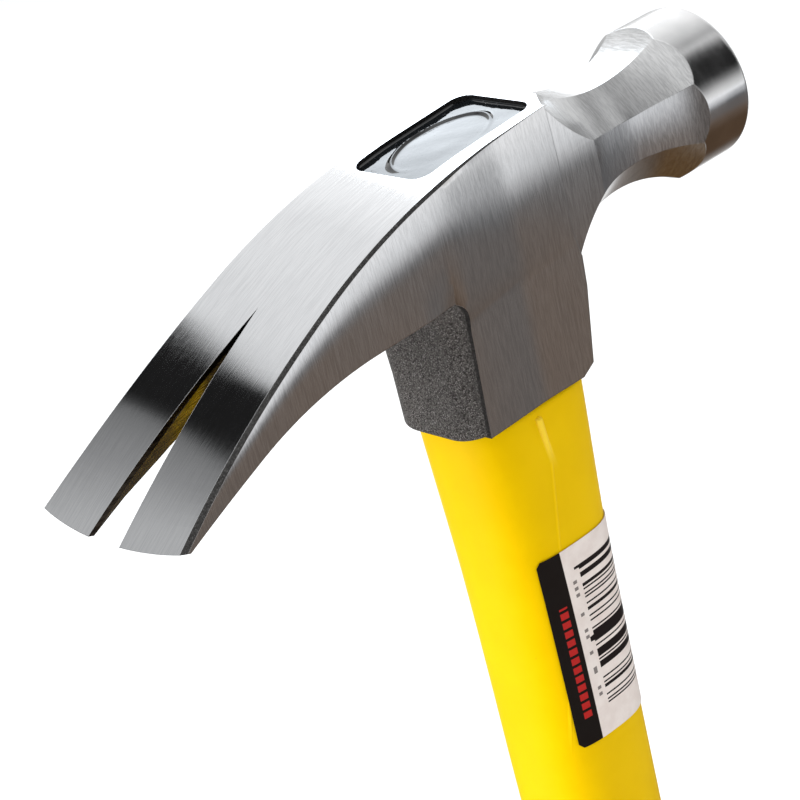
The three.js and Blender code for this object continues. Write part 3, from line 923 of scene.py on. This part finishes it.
def dress(obj, materials, slot, *replaced):
    """Gives a piece its materials and its place in the frame."""
    slots = obj.data.materials
    while len(slots) > len(materials):
        slots.pop()
    while len(slots) < len(materials):
        slots.append(None)
    for index, material in enumerate(materials):
        slots[index] = material
    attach(obj, "root")
    if replaced:
        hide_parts(*replaced)
    return obj


def add_weighted_normals(obj):
    """Keeps large flat faces flat in shading next to small ones."""
    modifier = obj.modifiers.new("weighted_normals", "WEIGHTED_NORMAL")
    modifier.keep_sharp = True
    modifier.weight = 50


def grip():
    """The CAD grip's outline at a finer step, with moulded ribs on its two gripping faces."""
    foot, shoulder = 1.5, GRIP_TOP - 1.5
    stations = [
        (foot, 17.2, 13.6, 2.4, 0.0), (5, 18.2, 14.4, 2.4, 0.0), (12, 18, 14.3, 2.4, 0.0),
        (24, 16, 13.6, 2.4, 0.0), (45, 15.2, 13.2, 2.4, 0.0), (72, 16, 13.6, 2.4, 0.0),
        (98, 15, 13, 2.4, 0.0), (118, 13.4, 12, 2.5, 0.0), (shoulder, 12.6, 11.5, 2.6, 0.0),
    ]
    steps = 380
    heights = [0.0, 0.15, 0.5, 0.95] + list(np.linspace(foot, shoulder, steps))
    heights += [GRIP_TOP - 0.8, GRIP_TOP - 0.3, GRIP_TOP]
    insets = [1.9, 1.2, 0.6, 0.22] + [0.0] * steps + [0.15, 0.45, 0.9]
    rings = []
    for z, inset in zip(heights, insets):
        section = smooth_station(stations, min(max(z, foot), shoulder))
        rings.append([section_point(section, a, z, -inset - rib_groove(z, a)) for a in circle_angles(128)])
    sleeve = loft("rubber_grip", rings)
    smooth_by_angle(sleeve, 40)
    return sleeve


def rib_groove(z, angle):
    """Depth of the rounded grooves between the ribs, and of the collar line near the grip's top."""
    pitch, depth = 5.5, 0.55
    valley = max(0.0, math.sin(2 * math.pi * (z - 20) / pitch)) ** 0.6
    ends = float(np.interp(z, [20, 24, 104, 108], [0, 1, 1, 0]))
    face = float(np.interp(abs(math.cos(angle)), [0.5, 0.78], [0, 1]))
    collar = 0.5 * math.exp(-(((z - 119) / 0.7) ** 2))
    return depth * valley * ends * face + collar


head = dress(hammer_head(), head_materials(), "forged_steel", "hammer_head")
add_weighted_normals(head)
dress(jacket(), [yellow_plastic()], "yellow_jacket", "handle_jacket").name = "yellow_jacket"
dress(epoxy_pool(), [black_epoxy()], "black_epoxy", "epoxy_bond")
dress(grip(), [black_rubber()], "black_rubber", "grip_sleeve")
dress(label(), [label_print()], "label_stock", "barcode_label")
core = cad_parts["fiberglass_core"]
core.data.materials.clear()
core.data.materials.append(bonded_fibre())


# ---- stage ----

def hide_from_all_but_reflections(obj):
    obj.visible_camera = False
    obj.visible_diffuse = False
    obj.visible_shadow = False
    obj.visible_transmission = False


def color_ramp(shader, value, low, high, stops):
    """A ramp of colours or grey levels given at values between low and high."""
    node = shader.add("ShaderNodeValToRGB")
    elements = node.color_ramp.elements
    while len(elements) < len(stops):
        elements.new(0.5)
    for element, (at, color) in zip(elements, stops):
        element.position = (at - low) / (high - low)
        element.color = (*(color if isinstance(color, tuple) else (color,) * 3), 1.0)
    share = shader.math("DIVIDE", shader.math("SUBTRACT", value, low), high - low)
    shader.plug(node.inputs["Fac"], share)
    return node.outputs["Color"]


UMBER = (0.05, 0.031, 0.019)
SMOKE = (0.07, 0.072, 0.076)


def front_surround(s, azimuth, elevation):
    """The side the cheeks see: brown bench, bright lower wall, gap, upper wall."""
    brown = (0.1, 0.077, 0.063)
    cool = (0.53, 0.54, 0.56)

    def front_wall(gap):
        """The front by elevation, with a given brightness between the two soft walls."""
        return color_ramp(s, elevation, -90, 90, [
            (-60, UMBER), (-40, UMBER), (-27, brown), (-22.5, brown), (-19.6, SMOKE),
            (-17.9, (0.36, 0.36, 0.37)), (-16.4, cool), (-11, (0.6, 0.605, 0.62)), (-7, 0.45), (-3, 0.36),
            (4, 0.12), (9, max(0.03, gap)), (12, gap), (42, gap), (44, 0.27), (47, 0.24), (53, 0.25),
            (57, 0.29), (60, 0.33), (66, 0.6), (75, 0.9), (90, 0.85),
        ])

    gap_here = s.band(azimuth, -66, -57, -35, -22)
    front = s.mix(gap_here, front_wall(0.38), front_wall(0.01))
    front_dim = color_ramp(s, elevation, -90, 90, [
        (-60, UMBER), (-40, UMBER), (-24, (0.07, 0.06, 0.055)), (0, 0.05), (30, 0.1), (42, 0.26),
        (60, 0.5), (90, 0.7),
    ])
    front = s.mix(s.band(azimuth, -104, -88, -20, -6), front_dim, front)
    # A shaded part of the lower front, beyond what the cheeks see.
    shade = s.math("MULTIPLY", s.ramp(azimuth, -47.2, -45.4), s.ramp(elevation, -14, -11, 0.65, 0.0))
    return s.mix(s.math("MULTIPLY", shade, s.ramp(elevation, -34, -26)), front, SMOKE)


def back_surround(s, azimuth, elevation):
    """The side the flat top and the neck's upper facets see: soft walls either side of a dark gap."""
    # The dark gap leans, so it crosses the claw at a slant.
    slant = s.math("MULTIPLY", s.ramp(elevation, 37, 42, -3.4, 3.4), s.ramp(azimuth, 76, 84))
    around = color_ramp(s, s.math("SUBTRACT", azimuth, slant), -30, 180, [
        (-30, 0.4), (0, 0.42), (14, 0.5), (25, 0.6), (40, 0.7), (62, 0.66), (70, 0.54), (80, 0.52),
        (90.4, 0.47), (91.0, 0.007), (100.2, 0.007), (101.2, 0.12), (106, 0.18), (111, 0.3), (140, 0.3),
        (180, 0.2),
    ])
    upwards = color_ramp(s, elevation, -90, 90, [
        (-60, (0.13, 0.105, 0.085)), (-46, (0.18, 0.16, 0.145)), (-38, (0.22, 0.195, 0.18)),
        (-33, (0.36, 0.35, 0.34)), (-28.5, 0.8), (-24.5, 0.8), (-20.5, (0.16, 0.13, 0.11)), (-14, 0.2),
        (-7.5, 0.5), (1, 0.65), (8, 1.0), (90, 1.0),
    ])
    multiply = s.add("ShaderNodeMix", data_type="RGBA", blend_type="MULTIPLY")
    multiply.inputs["Factor"].default_value = 1.0
    s.plug(multiply.inputs[6], around)
    s.plug(multiply.inputs[7], upwards)
    return s.mix(s.ramp(elevation, 50, 66), multiply.outputs[2], (0.6, 0.6, 0.6))


def surround_material():
    """Soft walls, dark gaps and a brown bench, by direction. Azimuth runs from +X towards +Y."""
    s = Shader("studio_surround")
    node = s.add("ShaderNodeVectorMath", operation="NORMALIZE")
    s.plug(node.inputs[0], s.position)
    split = s.add("ShaderNodeSeparateXYZ")
    s.plug(split.inputs[0], node.outputs[0])
    x, y, z = split.outputs
    degrees = 180 / math.pi
    elevation = s.math("MULTIPLY", s.math("ARCSINE", z), degrees)
    azimuth = s.math("MULTIPLY", s.math("ARCTAN2", y, x), degrees)
    # The brown bench reaches further round below than the front wall does above.
    shift = s.ramp(elevation, -20, -8, 23.0, 0.0)
    start, end = s.math("ADD", shift, -14.0), s.math("ADD", shift, 6.0)
    behind = s.band(azimuth, start, end, 165, 178)
    walls = s.mix(behind, front_surround(s, azimuth, elevation), back_surround(s, azimuth, elevation))
    golden, pale = (0.066, 0.036, 0.014), (0.3, 0.295, 0.285)
    nadir = s.mix(s.ramp(y, -0.14, -0.04), pale, golden)
    s.set(
        Base_Color=(0, 0, 0, 1),
        Emission_Color=s.mix(s.ramp(elevation, -64, -57, 1.0, 0.0), walls, nadir),
        Emission_Strength=2.0,
        Specular_IOR_Level=0.0,
    )
    return s.material


def surround():
    """A sphere round the head that only reflections see."""
    rows, columns, radius = 24, 48, 2500.0
    points = [
        (radius * math.cos(e) * math.cos(a), radius * math.cos(e) * math.sin(a), radius * math.sin(e))
        for e in np.linspace(-math.pi / 2, math.pi / 2, rows + 1)
        for a in np.arange(columns) * 2 * math.pi / columns
    ]
    faces = []
    for start in range(0, rows * columns, columns):
        for c in range(columns):
            here, following = start + c, start + (c + 1) % columns
            faces.append((here, here + columns, following + columns, following))
    sphere = make_object("surround", points, faces)
    sphere.location = Vector(HEAD_CENTRE) * MM
    sphere.data.materials.append(surround_material())
    hide_from_all_but_reflections(sphere)


def card(name, azimuth, elevation, width, height, distance, material):
    """A panel facing the head that only reflections see."""
    az, el = math.radians(azimuth), math.radians(elevation)
    direction = Vector((math.cos(el) * math.cos(az), math.cos(el) * math.sin(az), math.sin(el)))
    centre = Vector(HEAD_CENTRE) * MM + direction * distance
    half_w, half_h = width / 2, height / 2
    right = direction.cross(Vector((0, 0, 1))).normalized()
    up = right.cross(direction)
    signs = ((-1, -1), (1, -1), (1, 1), (-1, 1))
    corners = [centre + right * sx * half_w + up * sy * half_h for sx, sy in signs]
    obj = make_object(name, [tuple(c / MM) for c in corners], [(0, 1, 2, 3)])
    obj.data.materials.append(material)
    hide_from_all_but_reflections(obj)


def area_light(name, location, size, power):
    """A square white light in metres and watts, aimed just below the head, that reflections do not see."""
    target = Vector((0, 0, 0.3))
    data = bpy.data.lights.new(name, "AREA")
    data.energy = power
    data.shape = "RECTANGLE"
    data.size = size
    data.size_y = size
    obj = bpy.data.objects.new(name, data)
    obj.location = location
    obj.rotation_euler = (target - Vector(location)).to_track_quat("-Z", "Y").to_euler()
    obj.visible_glossy = False
    bpy.context.scene.collection.objects.link(obj)


def build_stage():
    reach = 9000
    corners = [(-reach, -reach, 0), (reach, -reach, 0), (reach, reach, 0), (-reach, reach, 0)]
    floor = make_object("floor", corners, [(0, 1, 2, 3)])
    floor.data.materials.append(pale_floor())
    floor.visible_glossy = False
    world = bpy.data.worlds.new("studio")
    bpy.context.scene.world = world
    world.use_nodes = True
    background = world.node_tree.nodes["Background"]
    background.inputs["Color"].default_value = (0.96, 0.98, 1.0, 1.0)
    background.inputs["Strength"].default_value = 0.82
    surround()
    card("softbox", 50, 36, 0.42, 1.1, 1.3, glow("softbox_glow", (0.88, 0.94, 1.0, 1.0), 5.0))
    area_light("key_left", (-1.25, 0.3, 0.95), 0.9, 21)
    area_light("top", (0.1, 0.2, 1.7), 1.4, 10)


def build_camera():
    """A long lens, rolled, looking down on the head from the claw's near side."""
    azimuth, elevation, roll = (math.radians(v) for v in (-37.39, 24.38, -13.88))
    distance = 424.3
    back = Vector((
        math.sin(azimuth) * math.cos(elevation),
        -math.cos(azimuth) * math.cos(elevation),
        math.sin(elevation),
    ))
    right = Vector((math.cos(azimuth), math.sin(azimuth), 0))
    up = back.cross(right)
    right_rolled = right * math.cos(roll) + up * math.sin(roll)
    up_rolled = up * math.cos(roll) - right * math.sin(roll)
    target = Vector((-17.31, 3.74, EYE_TOP - 38.58)) * MM
    place = target + back * distance * MM
    data = bpy.data.cameras.new("camera")
    data.sensor_width = 36.0
    data.lens = 121.1
    data.clip_start = 0.01
    data.clip_end = 50.0
    camera = bpy.data.objects.new("camera", data)
    matrix = camera.matrix_world.copy()
    for row in range(3):
        matrix[row] = (right_rolled[row], up_rolled[row], back[row], place[row])
    camera.matrix_world = matrix
    bpy.context.scene.collection.objects.link(camera)
    bpy.context.scene.camera = camera


build_stage()
build_camera()
bpy.context.scene.view_settings.view_transform = "Standard"
bpy.context.view_layer.update()
